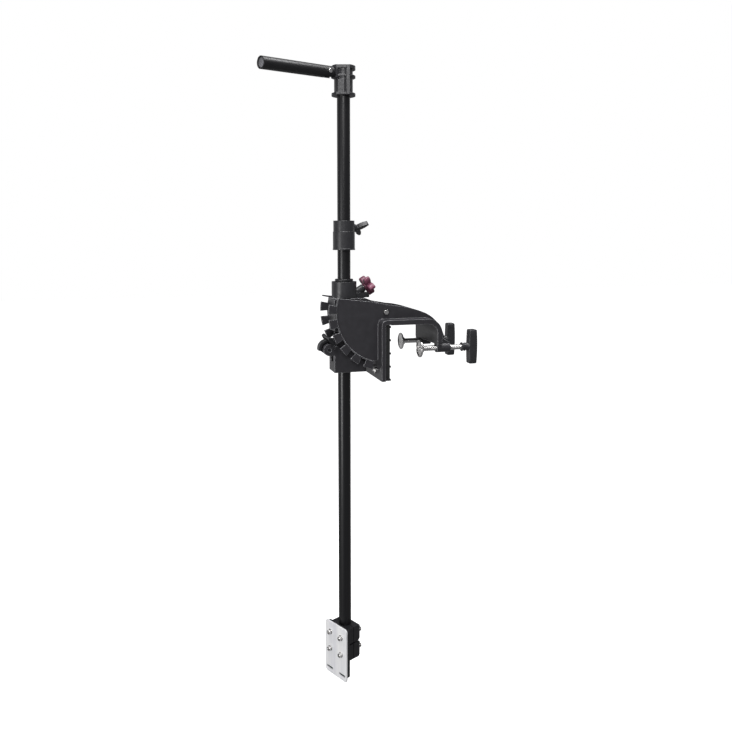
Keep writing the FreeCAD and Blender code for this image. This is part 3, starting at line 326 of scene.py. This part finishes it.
ROD_PITCH = 2.0
ROD_THREAD_DEEP = 0.75
HANDLE_WIDE = 20.0
HANDLE_BOW = 1.6
HANDLE_CORNER = 2.2


def clamp_rod(word):
    node = f"clamp_screw_{word}"
    low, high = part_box(node)
    place = axis_frame((0, (low.y + high.y) / 2, (low.z + high.z) / 2), (1, 0, 0))
    radius = (high.y - low.y) / 2 / MM
    start, end = low.x / MM, high.x / MM
    thread_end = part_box(f"clamp_handle_{word}")[0].x / MM + 1
    mesh = bmesh.new()
    lathe(mesh, place, [(radius * 0.7, start), (radius * 0.82, start + 0.8), (radius * 0.82, start + 8)], 32)
    thread(mesh, place, start + 6, thread_end, radius, ROD_PITCH, ROD_THREAD_DEEP)
    lathe(mesh, place, [(radius * 0.9, thread_end - 4), (radius * 0.9, end - 1), (radius * 0.8, end)], 32)
    finish_piece(f"{node}_threaded", mesh, "zinc_steel", BODY_OF[node], [node], 60)


def clamp_foot(word):
    """Swivel disc with a raised rim, a sunk face and a rivet head in its middle."""
    node = f"clamp_disc_{word}"
    low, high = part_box(node)
    place = axis_frame((low.x, (low.y + high.y) / 2, (low.z + high.z) / 2), (1, 0, 0))
    rim, deep = (high.y - low.y) / 2 / MM, (high.x - low.x) / MM
    mesh = bmesh.new()
    lathe(mesh, place, [(0.6, 0.9), (3.2, 1.1), (4.0, 1.9), (9.0, 2.2), (rim - 3.6, 1.7), (rim - 2.6, 0.0),
                        (rim - 0.8, 0.0), (rim - 0.2, 0.4), (rim, 1.0), (rim, 2.6), (rim - 0.5, 3.4),
                        (10.5, 4.3), (9.0, 5.4), (8.8, deep - 0.6), (8.2, deep), (6.2, deep)], 72)
    finish_piece(f"{node}_sunk", mesh, "zinc_steel", BODY_OF[node], [node], 30)


def rounded_box_ring(place, half_x, half_y, height, corner, steps=5):
    """Ring in the shape of a rectangle with rounded corners."""
    points = []
    for index, (sx, sy) in enumerate(((1, 1), (-1, 1), (-1, -1), (1, -1))):
        for step in range(steps):
            angle = TURN / 4 * (index + step / (steps - 1))
            points.append(place @ Vector((
                (sx * (half_x - corner) + corner * math.cos(angle)) * MM,
                (sy * (half_y - corner) + corner * math.sin(angle)) * MM,
                height * MM,
            )))
    return points


def t_handle(word):
    """Bar that is widest at its middle, on a hub with a lip ring."""
    node = f"clamp_handle_{word}"
    low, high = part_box(node)
    centre_y, centre_z = (low.y + high.y) / 2, (low.z + high.z) / 2
    deep, tall = (high.y - low.y) / 2 / MM, (high.z - low.z) / 2 / MM
    outer = high.x / MM
    mesh = bmesh.new()
    rows = []
    ends = [(-tall, 1.8), (-tall + 0.6, 0.7), (-tall + 1.8, 0.0)]
    middle = [(tall * share, 0.0) for share in (-0.8, -0.6, -0.4, -0.2, 0, 0.2, 0.4, 0.6, 0.8)]
    for height, inset in ends + middle + [(-z, inset) for z, inset in reversed(ends)]:
        bow = HANDLE_BOW * (height / tall) ** 2
        half = HANDLE_WIDE / 2 - bow * 0.75
        place = Matrix.Translation(((outer - bow * 0.9 - half) * MM, centre_y, centre_z))
        half_deep = deep * (1 - 0.02 * bow)
        rows.append(rounded_box_ring(place, half - inset, half_deep - inset, height, HANDLE_CORNER))
    loft(mesh, rows)
    hub = axis_frame((0, centre_y, centre_z), (1, 0, 0))
    start = low.x / MM
    profile = [(6.1, 0), (9.4, 0), (10.0, 0.5), (10.0, 1.9), (9.5, 2.4), (8.4, 2.8), (8.4, 11), (9.2, 14.5),
               (10.0, 16.5), (10.0, 18)]
    lathe(mesh, hub, [(radius, start + height) for radius, height in profile])
    finish_piece(f"{node}_moulded", mesh, SLOT_OF[node], BODY_OF[node], [node])


# Star knob of the tension screw. Heights are along the screw's axis from the joint's point.

KNOB_START = 37.5
KNOB_THICK = 15.0
KNOB_TIP = 23.4
KNOB_VALLEY = 11.0
NECK_RAD = 8.5
LOBES = 5
LOBE_SHARPNESS = 0.75


def star_knob():
    joint = JOINTS["tension_turn"]
    axis = Vector(joint["axis"])
    side = Vector((0, 0, 1)).cross(axis)
    place = axis_frame(joint["pos_m"], axis, -side)

    def outline(inset):
        def radius_at(angle):
            lobe = (0.5 + 0.5 * math.cos(LOBES * (angle - TURN / 4))) ** LOBE_SHARPNESS
            return (KNOB_VALLEY + (KNOB_TIP - KNOB_VALLEY) * lobe - inset) * MM
        return radius_at

    front, back = KNOB_START + KNOB_THICK, KNOB_START
    profile = [(back, 2.6), (back + 0.5, 1.1), (back + 1.6, 0.25), (back + 3, 0.0),
               (front - 3, 0.0), (front - 1.6, 0.3), (front - 0.5, 1.2), (front, 2.8)]
    mesh = bmesh.new()
    loft(mesh, [ring(place, height * MM, outline(inset), 120) for height, inset in profile])
    lathe(mesh, place, [(NECK_RAD - 0.6, back - 3), (NECK_RAD, back - 2.4), (NECK_RAD, back + 1)])
    lathe(mesh, place, [(9.5, front - 0.5), (9.2, front), (6.4, front), (5.6, front - 0.4)])
    finish_piece("tension_knob_star", mesh, "burgundy", BODY_OF["tension_knob"], ["tension_knob"], 50)


# Threaded stud of the star knob and stop screw of the tilt. Heights are along each screw's axis.

STUD_START = 6.4
STUD_END = 49.0
STUD_RAD = 4.0
STUD_PITCH = 1.25
STOP_PITCH = 1.0


def tension_stud():
    node = "tension_stud"
    joint = JOINTS["tension_turn"]
    place = axis_frame(joint["pos_m"], joint["axis"])
    mesh = bmesh.new()
    thread(mesh, place, STUD_START, STUD_END, STUD_RAD, STUD_PITCH, STUD_PITCH / 2, 28)
    finish_piece(f"{node}_threaded", mesh, "zinc_steel", BODY_OF[node], [node], 60)


def stop_screw():
    node = "tilt_stop_screw"
    low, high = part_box(node)
    place = axis_frame((0, (low.y + high.y) / 2, (low.z + high.z) / 2), (1, 0, 0))
    radius = (high.y - low.y) / 2 / MM
    mesh = bmesh.new()
    thread(mesh, place, low.x / MM, high.x / MM, radius, STOP_PITCH, STOP_PITCH / 2, 28)
    finish_piece(f"{node}_threaded", mesh, "zinc_steel", BODY_OF[node], [node], 60)


# Latch springs: a few coils of wire round the latch pin at each side of the lever.

SPRING_WIRE = 0.45
SPRING_LONG = 3.4
SPRING_COILS = 3
STEPS_PER_COIL = 24
WIRE_POINTS = 8


def latch_springs():
    node = "latch_springs"
    low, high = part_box(node)
    centre_x, centre_z = (low.x + high.x) / 2, (low.z + high.z) / 2
    radius = (high.z - low.z) / 2 / MM - SPRING_WIRE - 0.1
    start = high.y / MM - SPRING_LONG + SPRING_WIRE
    rise = SPRING_LONG - 2 * SPRING_WIRE
    steps = SPRING_COILS * STEPS_PER_COIL
    across = Vector((0, 1, 0))
    mesh = bmesh.new()
    for side in (-1, 1):
        rows = []
        for step in range(steps + 1):
            angle = TURN * step / STEPS_PER_COIL
            out = Vector((math.cos(angle), 0, math.sin(angle)))
            along = side * (start + rise * step / steps)
            middle = Vector((centre_x, along * MM, centre_z)) + out * radius * MM
            turns = [TURN * point / WIRE_POINTS for point in range(WIRE_POINTS)]
            rows.append([middle + (out * math.cos(turn) + across * math.sin(turn)) * SPRING_WIRE * MM
                         for turn in turns])
        loft(mesh, rows)
    finish_piece(f"{node}_coiled", mesh, "spring_steel", BODY_OF[node], [node])


# Socket screws of the transducer mount. Head and shank ends are distances from the pole's axis.

POLE_YAW = math.radians(207)
SCREW_COLUMN = 18.6
SCREW_ROWS = (-718.0, -758.0)
HEAD_BACK = 30.1
HEAD_TALL = 6.0
HEAD_RAD = 5.0
SHANK_END = -32.5
SOCKET_APOTHEM = 2.5
SCREW_RAD = 3.0
SCREW_PITCH = 1.0
SCREW_THREAD_DEEP = 0.45
KNURLS = 24


def knurled(radius, depth):
    return lambda angle: (radius - depth * (0.5 + 0.5 * math.cos(angle * KNURLS))) * MM


def hexagonal(apothem):
    return lambda angle: apothem / math.cos((angle + TURN / 12) % (TURN / 6) - TURN / 12) * MM


def mount_screws():
    node = "mount_screws"
    out = Vector((math.cos(POLE_YAW), math.sin(POLE_YAW), 0))
    across = Vector((-math.sin(POLE_YAW), math.cos(POLE_YAW), 0))
    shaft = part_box("shaft_tube")
    centre = Vector(((shaft[0].x + shaft[1].x) / 2, 0, 0))
    top = HEAD_BACK + HEAD_TALL
    mesh = bmesh.new()
    for side in (-1, 1):
        for row in SCREW_ROWS:
            place = axis_frame(centre + across * side * SCREW_COLUMN * MM + Vector((0, 0, row * MM)), out)
            thread(mesh, place, SHANK_END, HEAD_BACK + 0.5, SCREW_RAD, SCREW_PITCH, SCREW_THREAD_DEEP, 24, 6)
            outline = [(HEAD_BACK, plain(HEAD_RAD - 0.4)), (HEAD_BACK + 0.4, knurled(HEAD_RAD, 0.3)),
                       (top - 0.9, knurled(HEAD_RAD, 0.3)), (top - 0.7, plain(HEAD_RAD - 0.3)),
                       (top, plain(HEAD_RAD - 0.8)), (top, hexagonal(SOCKET_APOTHEM + 0.15)),
                       (top - 0.2, hexagonal(SOCKET_APOTHEM)), (top - 3.2, hexagonal(SOCKET_APOTHEM))]
            loft(mesh, [ring(place, height * MM, shape, 96) for height, shape in outline])
    finish_piece(f"{node}_socket_head", mesh, "zinc_steel", BODY_OF[node], [node], 35)


# Camera, lights and floor. Lengths are in metres and powers in watts.

CAMERA_AT = (-0.4699, -1.5082, 0.195)
CAMERA_YAW = math.radians(16)
CAMERA_PITCH = math.radians(5.45)
CAMERA_LENS = 34.62
CAMERA_SENSOR = 36
CAMERA_SHIFT = -0.0874
MIDDLE = (-0.05, 0, 0)
FOOT = (-0.1, 0, -0.7)
SOFTBOXES = (
    dict(name="key", at=(-0.9, -2.4, 1.6), target=MIDDLE, wide=0.9, tall=1.2, power=34),
    dict(name="overhead", at=(0.0, -0.3, 1.8), target=MIDDLE, wide=1.8, tall=0.7, power=46),
    dict(name="low_left", at=(-2.4, -1.3, -0.5), target=FOOT, wide=0.8, tall=1.2, power=32),
    dict(name="back_left", at=(-1.3, 1.7, 0.0), target=MIDDLE, wide=1.5, tall=2.6, power=5),
    dict(name="back_right", at=(1.6, 1.5, 0.0), target=MIDDLE, wide=1.2, tall=2.6, power=5),
)
GLOW = 0.20
FLOOR_HEIGHT = -0.97
FLOOR_HALF = 12


def camera():
    data = bpy.data.cameras.new("camera")
    data.lens = CAMERA_LENS
    data.sensor_width = CAMERA_SENSOR
    data.shift_y = CAMERA_SHIFT
    eye = bpy.data.objects.new("camera", data)
    bpy.context.scene.collection.objects.link(eye)
    level = math.cos(CAMERA_PITCH)
    forward = Vector((math.sin(CAMERA_YAW) * level, math.cos(CAMERA_YAW) * level, -math.sin(CAMERA_PITCH)))
    eye.location = CAMERA_AT
    eye.rotation_euler = forward.to_track_quat("-Z", "Y").to_euler()
    bpy.context.scene.camera = eye


def softbox(name, at, target, wide, tall, power):
    """Rectangular area light that the camera doesn't see itself."""
    data = bpy.data.lights.new(name, "AREA")
    data.shape = "RECTANGLE"
    data.size = wide
    data.size_y = tall
    data.energy = power
    lamp = bpy.data.objects.new(name, data)
    bpy.context.scene.collection.objects.link(lamp)
    lamp.location = at
    lamp.rotation_euler = (Vector(target) - Vector(at)).to_track_quat("-Z", "Y").to_euler()
    lamp.visible_camera = False


def surroundings():
    """White backdrop that lights the object only softly."""
    world = bpy.data.worlds.new("surroundings")
    bpy.context.scene.world = world
    world.use_nodes = True
    tree = world.node_tree
    tree.nodes.clear()
    out = tree.nodes.new("ShaderNodeOutputWorld")
    mix = tree.nodes.new("ShaderNodeMixShader")
    path = tree.nodes.new("ShaderNodeLightPath")
    seen = tree.nodes.new("ShaderNodeBackground")
    seen.inputs["Strength"].default_value = 1.0
    seen.inputs["Color"].default_value = (1, 1, 1, 1)
    glow = tree.nodes.new("ShaderNodeBackground")
    glow.inputs["Strength"].default_value = GLOW
    glow.inputs["Color"].default_value = (0.97, 0.97, 1, 1)
    tree.links.new(path.outputs["Is Camera Ray"], mix.inputs[0])
    tree.links.new(glow.outputs[0], mix.inputs[1])
    tree.links.new(seen.outputs[0], mix.inputs[2])
    tree.links.new(mix.outputs[0], out.inputs["Surface"])


def floor():
    """White floor that the camera sees and the object neither reflects nor is lit by."""
    mesh = bmesh.new()
    bmesh.ops.create_grid(mesh, x_segments=1, y_segments=1, size=FLOOR_HALF)
    data = bpy.data.meshes.new("floor")
    mesh.to_mesh(data)
    mesh.free()
    plane = bpy.data.objects.new("floor", data)
    plane.location = (0, 0, FLOOR_HEIGHT)
    plane.visible_diffuse = False
    plane.visible_glossy = False
    bpy.context.scene.collection.objects.link(plane)
    material = bpy.data.materials.new("floor")
    material.use_nodes = True
    shader = material.node_tree.nodes["Principled BSDF"]
    shader.inputs["Base Color"].default_value = (0.92, 0.92, 0.92, 1)
    shader.inputs["Roughness"].default_value = 0.9
    shader.inputs["Specular IOR Level"].default_value = 0.0
    shader.inputs["Emission Color"].default_value = (1, 1, 1, 1)
    shader.inputs["Emission Strength"].default_value = 1.0
    data.materials.append(material)


camera()
for node, piece in NODES.items():
    dress_node(node, piece)
for word in ("near", "far"):
    clamp_rod(word)
    clamp_foot(word)
    t_handle(word)
star_knob()
tension_stud()
stop_screw()
latch_springs()
mount_screws()
for light in SOFTBOXES:
    softbox(**light)
surroundings()
floor()
bpy.context.scene.view_settings.view_transform = "Standard"
